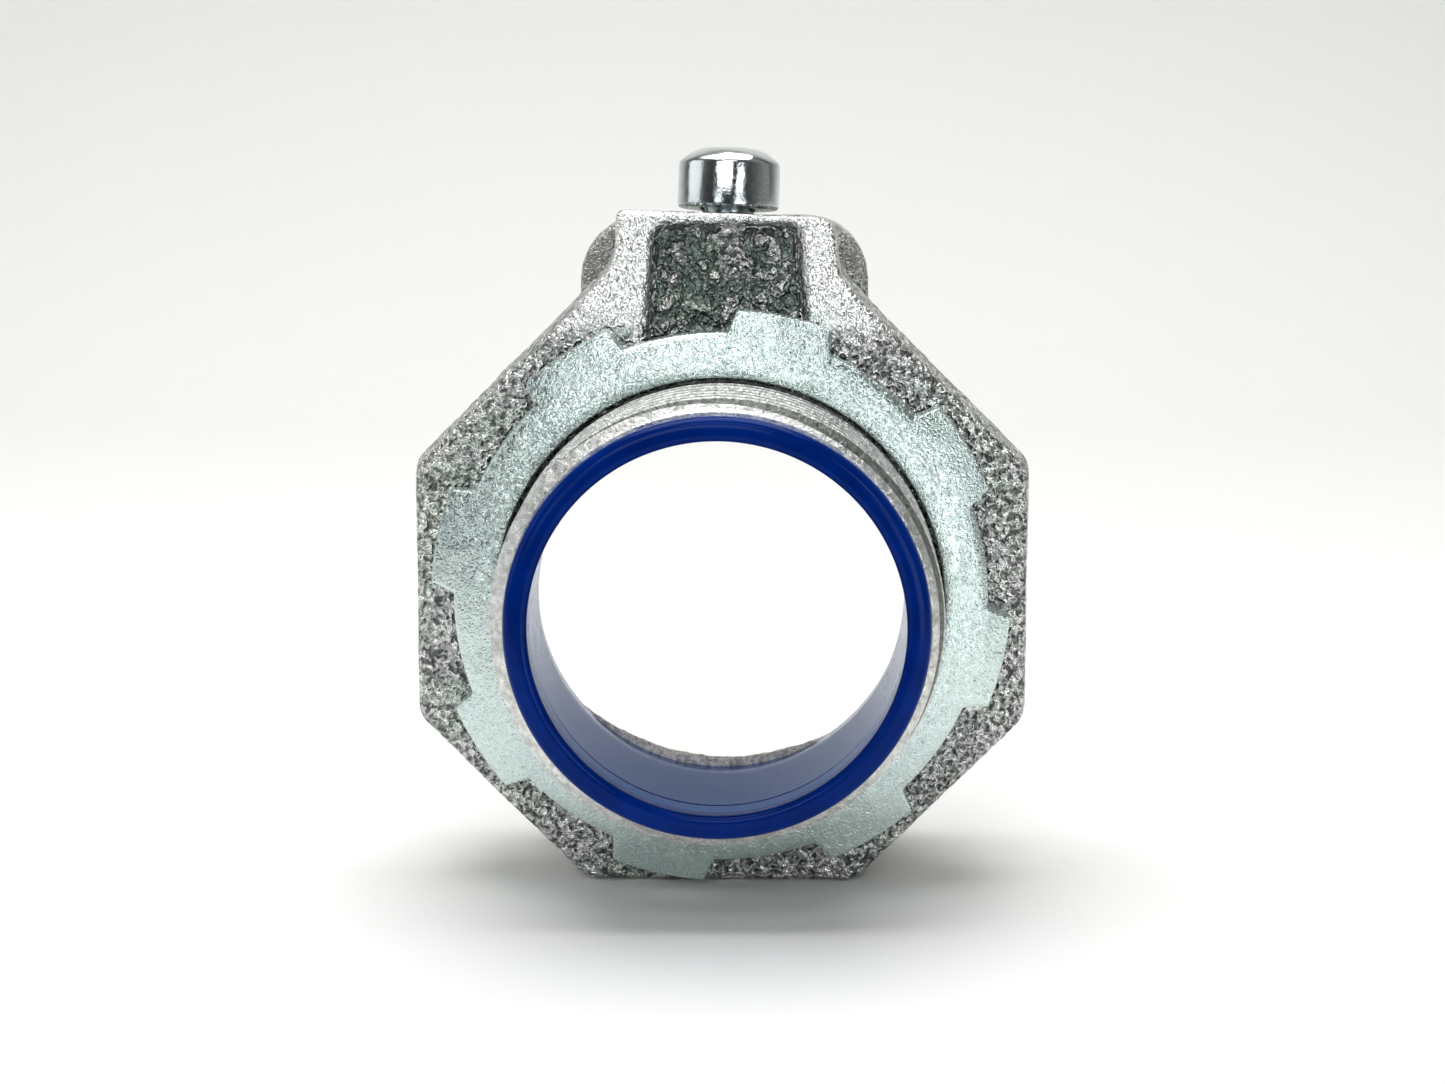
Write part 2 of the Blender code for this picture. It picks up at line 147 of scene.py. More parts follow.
class LocknutSettings(bpy.types.PropertyGroup):
    lugs: bpy.props.IntProperty(name="Lugs", description="Lugs round the nut", default=8, min=3)
    turn: bpy.props.FloatProperty(
        name="First lug",
        description="Angle of the first lug from +X towards +Z",
        default=math.radians(77.3),
        subtype="ANGLE",
        unit="ROTATION",
    )
    valley: length("Valley radius", "Radius between the lugs", 0.0260)
    metal: colour("Metal", "Zinc plated steel", (0.73, 0.84, 0.835))


class SaddleSettings(bpy.types.PropertyGroup):
    voxel: length("Voxel", "Size of the faces", 0.00032, 0.0002)
    metal: colour("Metal", "Zinc plated steel", (0.62, 0.63, 0.61))


class ScrewSettings(bpy.types.PropertyGroup):
    head: length("Head radius", "Radius of the head", 0.00503)
    height: length("Head height", "Height of the domed head", 0.0060)
    pitch: length("Pitch", "Distance between crests", 0.00127)
    crest: length("Crest radius", "Radius over the crests", 0.003175)
    slot: length("Slot width", "Width of the driver slot", 0.0013)
    metal: colour("Metal", "Bright zinc plated steel", (0.70, 0.745, 0.765))


class StageSettings(bpy.types.PropertyGroup):
    lens: bpy.props.FloatProperty(
        name="Lens", description="Camera focal length", default=81.2, min=20.0, unit="CAMERA"
    )
    floor: colour("Floor", "Colour of the floor", (0.92, 0.92, 0.91))
    # painted shade: the rising sweep is given a darker colour than the floor, with a slight warm tint
    wall: colour("Wall", "Colour of the sweep where it rises", (0.80, 0.80, 0.77))


# ---------------------------------------------------------------- node helpers


class Graph:
    """A node tree with short calls for adding and linking nodes."""

    def __init__(self, tree):
        self.tree = tree

    def add(self, kind, inputs=(), **settings):
        node = self.tree.nodes.new(kind)
        for key, value in settings.items():
            setattr(node, key, value)
        for key, value in dict(inputs).items():
            if isinstance(value, bpy.types.NodeSocket):
                self.tree.links.new(value, node.inputs[key])
            else:
                node.inputs[key].default_value = value
        return node

    def math(self, operation, first, second=0.0, third=0.0, clamp=False):
        values = {0: first, 1: second, 2: third}
        kind = "ShaderNodeMath"
        return self.add(kind, values, operation=operation, use_clamp=clamp).outputs[0]

    def split(self, vector):
        """The X, Y and Z of a vector."""
        return self.add("ShaderNodeSeparateXYZ", {0: vector}).outputs

    def spread(self, value, low, high, to_low=0.0, to_high=1.0, smooth=False):
        """Maps low..high to to_low..to_high, clamped."""
        values = {"Value": value, 1: low, 2: high, 3: to_low, 4: to_high}
        kind = "SMOOTHSTEP" if smooth else "LINEAR"
        return self.add("ShaderNodeMapRange", values, interpolation_type=kind).outputs[0]


def geometry_tree(name, inputs):
    """A geometry tree with named inputs: (graph, input sockets by name, finishing call)."""
    tree = bpy.data.node_groups.new(name, "GeometryNodeTree")
    for label, kind, default in inputs:
        socket = tree.interface.new_socket(name=label, in_out="INPUT", socket_type=kind)
        if default is not None:
            socket.default_value = default
    tree.interface.new_socket(
        name="Geometry", in_out="OUTPUT", socket_type="NodeSocketGeometry"
    )
    graph = Graph(tree)
    sockets = {s.name: s for s in graph.add("NodeGroupInput").outputs if s.name}

    def finish(geometry):
        real = graph.add("GeometryNodeRealizeInstances", {0: geometry})
        dressed = graph.add(
            "GeometryNodeSetMaterial",
            {"Geometry": real.outputs[0], "Material": sockets["Material"]},
        )
        graph.add("NodeGroupOutput", {0: dressed.outputs[0]})
        return tree

    return graph, sockets, finish


def grown(tree, values):
    """The plain mesh that a geometry tree makes from these input values."""
    holder = bpy.data.objects.new(tree.name, bpy.data.meshes.new(tree.name))
    bpy.context.scene.collection.objects.link(holder)
    step = holder.modifiers.new(tree.name, "NODES")
    step.node_group = tree
    for item in tree.interface.items_tree:
        if item.in_out == "INPUT" and item.name in values:
            step[item.identifier] = values[item.name]
    graph = bpy.context.evaluated_depsgraph_get()
    mesh = bpy.data.meshes.new_from_object(holder.evaluated_get(graph))
    bpy.data.objects.remove(holder)
    return mesh


def thread_tree():
    """A threaded tube along +Z whose two ends close down to the root radius."""
    g, given, finish = geometry_tree(
        "thread_sweep",
        [
            ("Pitch", "NodeSocketFloat", 0.002),
            ("Turns", "NodeSocketFloat", 6.0),
            ("Root", "NodeSocketFloat", 0.02),
            ("Crest", "NodeSocketFloat", 0.021),
            ("Lead in", "NodeSocketFloat", 0.001),
            ("Run out", "NodeSocketFloat", 0.001),
            ("Columns", "NodeSocketInt", COLUMNS),
            ("Material", "NodeSocketMaterial", None),
        ],
    )
    turns, pitch = given["Turns"], given["Pitch"]
    rows = g.math("MULTIPLY", g.math("ADD", turns, 1.0), THREAD_ROWS)
    grid = g.add(
        "GeometryNodeMeshGrid",
        {
            "Size X": 1.0,
            "Size Y": 1.0,
            "Vertices X": g.math("ADD", given["Columns"], 1.0),
            "Vertices Y": g.math("ADD", g.math("ROUND", rows), 1.0),
        },
    )
    place = g.split(g.add("GeometryNodeInputPosition").outputs[0])
    around = g.math("ADD", place[0], 0.5)
    along = g.math("MULTIPLY", g.math("ADD", place[1], 0.5), g.math("ADD", turns, 1.0))
    rise = g.math("SUBTRACT", g.math("ADD", along, around), 1.0)
    top = g.math("MULTIPLY", turns, pitch)
    height = g.math("MINIMUM", g.math("MAXIMUM", g.math("MULTIPLY", rise, pitch), 0.0), top)
    # one thread: a sixth of a turn of crest, a third down, a sixth of root and a third up
    phase = g.math("FRACT", g.math("ADD", along, 0.001))
    falling = g.math("MULTIPLY_ADD", phase, -3.0, 1.503)
    rising = g.math("MULTIPLY_ADD", phase, 3.0, -2.003)
    ridge = g.math("MAXIMUM", falling, rising, clamp=True)
    lead = g.spread(height, 0.0, given["Lead in"])
    out = g.spread(g.math("SUBTRACT", top, height), 0.0, given["Run out"])
    ridge = g.math("MINIMUM", ridge, g.math("MINIMUM", lead, out))
    depth = g.math("SUBTRACT", given["Crest"], given["Root"])
    radius = g.math("MULTIPLY_ADD", depth, ridge, given["Root"])
    angle = g.math("MULTIPLY", around, math.tau)
    x = g.math("MULTIPLY", radius, g.math("COSINE", angle))
    y = g.math("MULTIPLY", radius, g.math("SINE", angle))
    spot = g.add("ShaderNodeCombineXYZ", {0: x, 1: y, 2: height}).outputs[0]
    bent = g.add("GeometryNodeSetPosition", {0: grid.outputs[0], "Position": spot}).outputs[0]
    closed = g.add("GeometryNodeMergeByDistance", {0: bent, "Distance": 1e-6})
    return finish(closed.outputs[0])


def lug_ring_tree():
    """A turned ring about +Z whose rim is pushed out into lugs.

    The profile is a strip of points: x is a radius, y a height, and z is 1 where the radius
    counts from the rim instead of the axis.
    """
    g, given, finish = geometry_tree(
        "lug_ring",
        [
            ("Profile", "NodeSocketObject", None),
            ("Points", "NodeSocketInt", 12),
            ("Columns", "NodeSocketInt", 720),
            ("Lugs", "NodeSocketInt", 8),
            ("Turn", "NodeSocketFloat", 0.0),
            ("Valley", "NodeSocketFloat", 0.026),
            ("Tip", "NodeSocketFloat", 0.028),
            ("Tip share", "NodeSocketFloat", 0.405),
            ("Foot share", "NodeSocketFloat", 0.515),
            ("Material", "NodeSocketMaterial", None),
        ],
    )
    grid = g.add(
        "GeometryNodeMeshGrid",
        {
            "Size X": 1.0,
            "Size Y": 1.0,
            "Vertices X": g.math("ADD", given["Columns"], 1.0),
            "Vertices Y": given["Points"],
        },
    )
    place = g.split(g.add("GeometryNodeInputPosition").outputs[0])
    around = g.math("MULTIPLY", g.math("ADD", place[0], 0.5), math.tau)
    last = g.math("SUBTRACT", given["Points"], 1.0)
    row = g.math("MULTIPLY", g.math("ADD", place[1], 0.5), last)
    strip = g.add("GeometryNodeObjectInfo", {"Object": given["Profile"]})
    sample = g.add(
        "GeometryNodeSampleIndex",
        {
            "Geometry": strip.outputs["Geometry"],
            "Value": g.add("GeometryNodeInputPosition").outputs[0],
            "Index": g.math("ROUND", row),
        },
        data_type="FLOAT_VECTOR",
    )
    point = g.split(sample.outputs[0])
    share = g.math("DIVIDE", math.pi, given["Lugs"])
    off = g.math("SUBTRACT", around, given["Turn"])
    off = g.math("WRAP", off, g.math("MULTIPLY", share, -1.0), share)
    off = g.math("DIVIDE", g.math("ABSOLUTE", off), share)
    lug = g.spread(off, given["Tip share"], given["Foot share"], 1.0, 0.0, smooth=True)
    reach = g.math("SUBTRACT", given["Tip"], given["Valley"])
    rim = g.math("MULTIPLY_ADD", reach, lug, given["Valley"])
    on_rim = g.math("ADD", rim, point[0])
    on_face = g.math("MINIMUM", point[0], g.math("SUBTRACT", rim, 0.0002))
    radius = g.add("ShaderNodeMix", {"Factor": point[2], "A": on_face, "B": on_rim}).outputs[0]
    x = g.math("MULTIPLY", radius, g.math("COSINE", around))
    y = g.math("MULTIPLY", radius, g.math("SINE", around))
    spot = g.add("ShaderNodeCombineXYZ", {0: x, 1: y, 2: point[1]}).outputs[0]
    bent = g.add("GeometryNodeSetPosition", {0: grid.outputs[0], "Position": spot}).outputs[0]
    closed = g.add("GeometryNodeMergeByDistance", {0: bent, "Distance": 1e-7})
    return finish(closed.outputs[0])


def lump_tree():
    """Flattened lumps scattered over a plate that faces -Y."""
    g, given, finish = geometry_tree(
        "pocket_lumps",
        [
            ("Centre", "NodeSocketVector", (0.0, 0.0, 0.0)),
            ("Tilt", "NodeSocketFloat", 1.5),
            ("Width", "NodeSocketFloat", 0.012),
            ("Height", "NodeSocketFloat", 0.010),
            ("Lump", "NodeSocketFloat", 0.001),
            ("Spacing", "NodeSocketFloat", 0.0015),
            ("Seed", "NodeSocketInt", 4),
            ("Material", "NodeSocketMaterial", None),
        ],
    )
    plate = g.add(
        "GeometryNodeMeshGrid",
        {"Size X": given["Width"], "Size Y": given["Height"], "Vertices X": 2, "Vertices Y": 2},
    )
    upright = g.add(
        "GeometryNodeTransform",
        {
            "Geometry": plate.outputs[0],
            "Translation": given["Centre"],
            "Rotation": g.add("ShaderNodeCombineXYZ", {0: given["Tilt"]}).outputs[0],
        },
    )
    points = g.add(
        "GeometryNodeDistributePointsOnFaces",
        {
            "Mesh": upright.outputs[0],
            "Distance Min": given["Spacing"],
            "Density Max": 900000.0,
            "Seed": given["Seed"],
        },
        distribute_method="POISSON",
    )
    ball = g.add("GeometryNodeMeshIcoSphere", {"Radius": given["Lump"], "Subdivisions": 2})
    size = g.add(
        "FunctionNodeRandomValue",
        {0: (0.6, 0.5, 0.6), 1: (1.5, 0.95, 1.3), "Seed": given["Seed"]},
        data_type="FLOAT_VECTOR",
    )
    turn = g.add("FunctionNodeRandomValue", {2: -1.2, 3: 1.2, "Seed": 9}, data_type="FLOAT")
    spin = g.add("ShaderNodeCombineXYZ", {1: turn.outputs[1]})
    lumps = g.add(
        "GeometryNodeInstanceOnPoints",
        {
            "Points": points.outputs[0],
            "Instance": ball.outputs[0],
            "Scale": size.outputs[0],
            "Rotation": spin.outputs[0],
        },
    )
    return finish(lumps.outputs[0])


# ---------------------------------------------------------------- mesh helpers


def as_mesh(body, name):
    """A mesh from a bmesh, which is freed."""
    mesh = bpy.data.meshes.new(name)
    body.to_mesh(mesh)
    body.free()
    return mesh


def lathe(points, columns=COLUMNS, closed=True):
    """A surface turned about +Z from (radius, height) points."""
    body = bmesh.new()
    rings = []
    for radius, height in points:
        if radius < 1e-7:
            rings.append([body.verts.new((0.0, 0.0, height))] * columns)
            continue
        angles = [math.tau * i / columns for i in range(columns)]
        ring = [(radius * math.cos(a), radius * math.sin(a), height) for a in angles]
        rings.append([body.verts.new(p) for p in ring])
    pairs = list(zip(rings, rings[1:]))
    if closed:
        pairs.append((rings[-1], rings[0]))
    for near, far in pairs:
        for i in range(columns):
            j = (i + 1) % columns
            corners = list(dict.fromkeys((near[i], near[j], far[j], far[i])))
            if len(corners) > 2:
                body.faces.new(corners)
    return as_mesh(body, "turned")


def joined(meshes, merge=1e-6):
    """One mesh from several, with doubles merged and faces turned outwards."""
    body = bmesh.new()
    for mesh in meshes:
        body.from_mesh(mesh)
    bmesh.ops.remove_doubles(body, verts=body.verts, dist=merge)
    bmesh.ops.dissolve_degenerate(body, dist=1e-7, edges=body.edges)
    bmesh.ops.recalc_face_normals(body, faces=body.faces)
    return as_mesh(body, "joined")


def to_hub(mesh, y):
    """Moves a mesh built about +Z so that its axis is the hub's and its foot is at y."""
    turn = Matrix.Rotation(-math.pi / 2, 4, "X")
    mesh.transform(Matrix.Translation((AXIS.x, y, AXIS.z)) @ turn)
    return mesh


def finished(mesh, modifiers):
    """A new mesh with these (type, settings) modifiers applied."""
    holder = bpy.data.objects.new("holder", mesh)
    bpy.context.scene.collection.objects.link(holder)
    for kind, settings in modifiers:
        step = holder.modifiers.new(kind, kind)
        for key, value in settings.items():
            setattr(step, key, value)
    graph = bpy.context.evaluated_depsgraph_get()
    out = bpy.data.meshes.new_from_object(holder.evaluated_get(graph))
    bpy.data.objects.remove(holder)
    return out


def remeshed(mesh, voxel, passes=3):
    """One even skin over a mesh, with faces of the voxel's size, smoothed a few times."""
    skin = ("REMESH", {"mode": "VOXEL", "voxel_size": voxel})
    return finished(mesh, [skin, ("SMOOTH", {"factor": 0.5, "iterations": passes})])


def cad_copy(node):
    """A merged copy of a CAD node's mesh, as a bmesh."""
    body = bmesh.new()
    body.from_mesh(frame["nodes"][node].data)
    bmesh.ops.remove_doubles(body, verts=body.verts, dist=1e-6)
    return body


def cad_walls(node):
    """A search tree of a CAD node's mesh, to cast rays at."""
    body = cad_copy(node)
    walls = BVHTree.FromBMesh(body)
    body.free()
    return walls


def roughened(mesh, height, share_at=lambda point: 1.0):
    """Pushes points along their normals by two sizes of lumps.

    share_at gives each point's share of the height, from 0 to 1.
    """
    normals = [v.normal.copy() for v in mesh.vertices]
    for v, normal in zip(mesh.vertices, normals):
        share = share_at(v.co)
        if share <= 0.0:
            continue
        fine = noise.fractal(v.co / (0.6 * MM), 1.0, 2.0, 2)
        broad = noise.fractal(v.co / (4.0 * MM) + Vector((7.0, 3.0, 1.0)), 1.0, 2.0, 2)
        v.co += normal * height * share * (0.55 * fine + 0.6 * broad)
    mesh.update()


def piece(name, mesh, body, surface, replaced=(), sharp=None):
    """Puts a finished mesh in the scene, on its body and in place of its CAD nodes."""
    mesh.name = name
    mesh.materials.clear()
    mesh.materials.append(surface)
    for face in mesh.polygons:
        face.use_smooth = True
        face.material_index = 0
    if sharp is not None:
        mesh.set_sharp_from_angle(angle=math.radians(sharp))
    item = bpy.data.objects.new(name, mesh)
    bpy.context.scene.collection.objects.link(item)
    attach(item, body)
    if replaced:
        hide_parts(*replaced)


# ---------------------------------------------------------------- materials


def new_surface(name):
    """A material with one Principled shader: (material, graph, shader, object coordinates)."""
    made = bpy.data.materials.new(name)
    made.use_nodes = True
    graph = Graph(made.node_tree)
    shader = made.node_tree.nodes["Principled BSDF"]
    spot = graph.add("ShaderNodeTexCoord").outputs["Object"]
    return made, graph, shader, spot


def speckle(graph, spot, size, detail=2.0, roughness=0.5, distortion=0.0):
    """Noise whose blotches are about size across."""
    values = {
        "Vector": spot,
        "Scale": 0.5 / size,
        "Detail": detail,
        "Roughness": roughness,
        "Distortion": distortion,
    }
    return graph.add("ShaderNodeTexNoise", values).outputs[0]


def blend(graph, factor, first, second):
    """A colour between two colours."""
    node = graph.add("ShaderNodeMix", {"Factor": factor}, data_type="RGBA")
    for index, value in ((6, first), (7, second)):
        if isinstance(value, bpy.types.NodeSocket):
            graph.tree.links.new(value, node.inputs[index])
        else:
            node.inputs[index].default_value = (*value, 1.0)
    return node.outputs[2]


def bumped(graph, height, strength, distance, under=None):
    """A normal bent by a height, on top of an earlier one."""
    values = {"Height": height, "Strength": strength, "Distance": distance}
    if under is not None:
        values["Normal"] = under
    return graph.add("ShaderNodeBump", values).outputs[0]


def pocket_floor():
    """The middle of the floor of the neck's pocket, and how far it leans back."""
    walls = cad_walls("body_casting")
    low, high = AXIS.z + POCKET_LOW, AXIS.z + POCKET_HIGH
    depths = []
    for z in (low, high):
        hit = walls.ray_cast(Vector((SCREW_SEAT.x, -1.0, z)), Vector((0.0, 1.0, 0.0)))[0]
        if hit is None:
            raise RuntimeError("the neck has no pocket floor")
        depths.append(hit.y)
    middle = Vector((SCREW_SEAT.x, sum(depths) / 2, (low + high) / 2))
    return middle, math.atan2(depths[1] - depths[0], high - low)


def cast_zinc(wanted, middle, lean):
    """Zinc plating over a rough sand casting: grainy, bright on the peaks, dull in the pits.

    The neck's front is smoother and painted brighter, as a painted highlight, and the floor of its pocket painted
    darker, as painted shade between the lumps.
    """
    made, g, shader, spot = new_surface("cast_zinc")
    out = Vector((0.0, -math.cos(lean), math.sin(lean)))  # square to the pocket's floor
    off = g.add("ShaderNodeVectorMath", {0: spot, 1: -middle}, operation="ADD").outputs[0]
    depth = g.add("ShaderNodeVectorMath", {0: off, 1: out}, operation="DOT_PRODUCT")
    depth = depth.outputs["Value"]
    place = g.split(off)
    # above the neck's foot, and then within the pocket's sides and behind the neck's face
    above = g.spread(place[2], -0.0055, -0.0035)
    within = g.spread(g.math("ABSOLUTE", place[0]), 0.0081, 0.0075)
    within = g.math("MULTIPLY", within, g.spread(depth, -0.0008, -0.0005))
    # the neck's front: a gentler bump there, which is real, and a colour lifted towards white with fewer dark
    # pits, a painted highlight for the light its leaning face reflects
    smooth = g.math("MULTIPLY", above, g.spread(depth, 0.0011, 0.0018))
    # painted shade: near the pocket floor, below the lump tops, the colour turns dark
    pocket_shade_mask = g.math("MULTIPLY", above, within)
    pocket_shade_mask = g.math("MULTIPLY", pocket_shade_mask, g.spread(depth, 0.00055, 0.00008))
    coarse = speckle(g, spot, 0.32 * MM, 1.5, 0.5, 0.6)
    fine = speckle(g, spot, 0.17 * MM, 1.0, 0.5, 0.4)
    patch = speckle(g, spot, 3.0 * MM, 3.0)
    grain = g.math("MULTIPLY_ADD", fine, 0.3, g.math("MULTIPLY", coarse, 0.7))
    pit_end = g.spread(smooth, 0.0, 1.0, 0.38, 0.16)
    peak_end = g.spread(smooth, 0.0, 1.0, 0.58, 0.50)
    peaks = g.spread(grain, pit_end, peak_end)
    green = [c * k for c, k in zip(wanted.metal, (0.95, 1.0, 0.96))]
    violet = [c * k for c, k in zip(wanted.metal, (1.0, 0.97, 1.0))]
    zinc = blend(g, g.spread(patch, 0.42, 0.58), green, violet)
    zinc = blend(g, peaks, wanted.pits, zinc)
    # painted highlight: the neck's front is blended towards near white
    bright = [0.97 + 0.03 * c for c in wanted.metal]
    zinc = blend(g, g.math("MULTIPLY", smooth, 0.7), zinc, bright)
    g.tree.links.new(blend(g, pocket_shade_mask, zinc, wanted.pocket_shade), shader.inputs["Base Color"])
    g.tree.links.new(g.spread(peaks, 0.0, 1.0, 0.42, 0.20), shader.inputs["Roughness"])
    shader.inputs["Metallic"].default_value = 1.0
    under = bumped(g, coarse, 1.0, g.spread(smooth, 0.0, 1.0, 0.00088, 0.00040))
    g.tree.links.new(bumped(g, fine, 1.0, 0.00018, under), shader.inputs["Normal"])
    return made


def machined_zinc(casting, thread):
    """Plated machined iron on the thread: smoother than the casting, torn a little on the face.

    The valleys of the thread are painted darker than its crests and the end face, a painted shade where little
    light reaches.
    """
    made, g, shader, spot = new_surface("machined_zinc")
    tear = speckle(g, spot, 0.30 * MM, 4.0, 0.65, 0.6)
    drag = g.add("ShaderNodeMapping", {"Vector": spot, "Scale": (1.0, 0.3, 1.0)})
    line = speckle(g, drag.outputs[0], 0.6 * MM, 2.0, 0.6)
    mixed = g.math("MULTIPLY_ADD", tear, 0.6, g.math("MULTIPLY", line, 0.4))
    bright = g.spread(mixed, 0.38, 0.60)
    dull = [0.6 * a + 0.4 * b for a, b in zip(casting.metal, casting.pits)]
    shiny = [min(1.0, 1.15 * c) for c in casting.metal]
    off = g.add("ShaderNodeVectorMath", {0: spot, 1: -AXIS}, operation="ADD").outputs[0]
    flat = g.add("ShaderNodeVectorMath", {0: off, 1: (1.0, 0.0, 1.0)}, operation="MULTIPLY")
    radius = g.add("ShaderNodeVectorMath", {0: flat.outputs[0]}, operation="LENGTH")
    radius = radius.outputs["Value"]
    # painted shade: below the crests, behind the first turn, the thread's valleys are darkened
    crests = g.spread(radius, thread.crest - 0.00018, thread.crest - 0.00009)
    cut_from = LIP_Y - AXIS.y + thread.face + 0.0013
    cut = g.math("GREATER_THAN", g.split(off)[1], cut_from)
    valley_unshaded = g.math("MAXIMUM", crests, g.math("SUBTRACT", 1.0, cut))
    zinc = blend(g, bright, dull, shiny)
    # painted shade: the valleys take a darkened copy of the pits' colour
    zinc = blend(g, valley_unshaded, [1.5 * c for c in casting.pits], zinc)
    g.tree.links.new(zinc, shader.inputs["Base Color"])
    g.tree.links.new(g.spread(tear, 0.3, 0.7, 0.40, 0.24), shader.inputs["Roughness"])
    shader.inputs["Metallic"].default_value = 0.95
    under = bumped(g, tear, 1.0, 0.00022)
    g.tree.links.new(bumped(g, line, 0.3, 0.00005, under), shader.inputs["Normal"])
    return made


def bare_casting():
    """Iron with hardly any plating on it: warm, dull and mottled."""
    made, g, shader, spot = new_surface("bare_casting")
    mottle = speckle(g, spot, 0.30 * MM, 3.0, 0.6, 0.6)
    tint = blend(g, g.spread(mottle, 0.35, 0.6), (0.42, 0.385, 0.345), (0.90, 0.84, 0.77))
    g.tree.links.new(tint, shader.inputs["Base Color"])
    shader.inputs["Metallic"].default_value = 0.25
    shader.inputs["Roughness"].default_value = 0.62
    g.tree.links.new(bumped(g, mottle, 0.8, 0.0002), shader.inputs["Normal"])
    return made


def plated_steel(name, metal, dull, grain, ripple, gloss):
    """Zinc plated steel: satin, with faint patches, fine scratches and a light grain.

    dull is the share of the colour left in the darker mottles, grain and ripple are the heights
    of the fine and the wide bumps, and gloss is the roughness.
    """
    made, g, shader, spot = new_surface(name)
    patch = speckle(g, spot, 3.2 * MM, 4.0, 0.6, 0.4)
    mottle = speckle(g, spot, 0.30 * MM, 1.5, 0.5, 2.5)
    wave = speckle(g, spot, 2.2 * MM, 1.0)
    stretched = g.add("ShaderNodeMapping", {"Vector": spot, "Scale": (1.0, 1.0, 7.0)})
    scratch = speckle(g, stretched.outputs[0], 0.35 * MM, 2.0, 0.7)
    worn = g.spread(patch, 0.32, 0.68)
    dulled = [c * dull for c in metal]
    tinted = blend(g, g.spread(mottle, 0.3, 0.7), dulled, metal)
    warm = [c * k for c, k in zip(metal, (0.99, 0.97, 0.92))]
    tinted = blend(g, g.math("MULTIPLY", worn, 0.5), tinted, warm)
    g.tree.links.new(tinted, shader.inputs["Base Color"])
    rough = g.spread(mottle, 0.25, 0.75, gloss - 0.07, gloss + 0.10)
    g.tree.links.new(rough, shader.inputs["Roughness"])
    shader.inputs["Metallic"].default_value = 0.97
    under = bumped(g, wave, 1.0, ripple)
    under = bumped(g, mottle, 1.0, grain, under)
    g.tree.links.new(bumped(g, scratch, 0.25, grain * 0.3, under), shader.inputs["Normal"])
    return made


def nylon(plastic, light_through_wall):
    """Glossy moulded nylon with a very slight ripple, painted paler inside the sleeve as painted light shining
    through the thin wall.
    """
    made, g, shader, spot = new_surface("blue_nylon")
    ripple = speckle(g, spot, 2.2 * MM, 2.0)
    haze = speckle(g, spot, 0.5 * MM, 3.0)
    behind = g.split(spot)[1]
    groove = g.math("ABSOLUTE", g.math("SUBTRACT", behind, LIP_Y + GROOVE_IN))
    past_lip = g.spread(behind, LIP_Y + 0.0010, LIP_Y + 0.0022)
    # painted light: behind the lip the inside is painted paler for light through the thin wall, except along the
    # groove, which keeps the darker blue as a painted shade line
    inside = g.math("MULTIPLY", past_lip, g.spread(groove, 0.00035, 0.0005))
    solid = blend(g, g.spread(ripple, 0.3, 0.7), [c * 0.72 for c in plastic], plastic)
    g.tree.links.new(blend(g, inside, solid, light_through_wall), shader.inputs["Base Color"])
    g.tree.links.new(g.spread(haze, 0.3, 0.7, 0.10, 0.18), shader.inputs["Roughness"])
    shader.inputs["IOR"].default_value = 1.54
    gloss = g.spread(behind, LIP_Y + 0.0006, LIP_Y + 0.0016, 0.11, 0.03)
    g.tree.links.new(gloss, shader.inputs["Specular IOR Level"])
    under = bumped(g, ripple, 0.2, 0.00004)
    g.tree.links.new(bumped(g, haze, 0.12, 0.00001, under), shader.inputs["Normal"])
    return made


# ---------------------------------------------------------------- operators


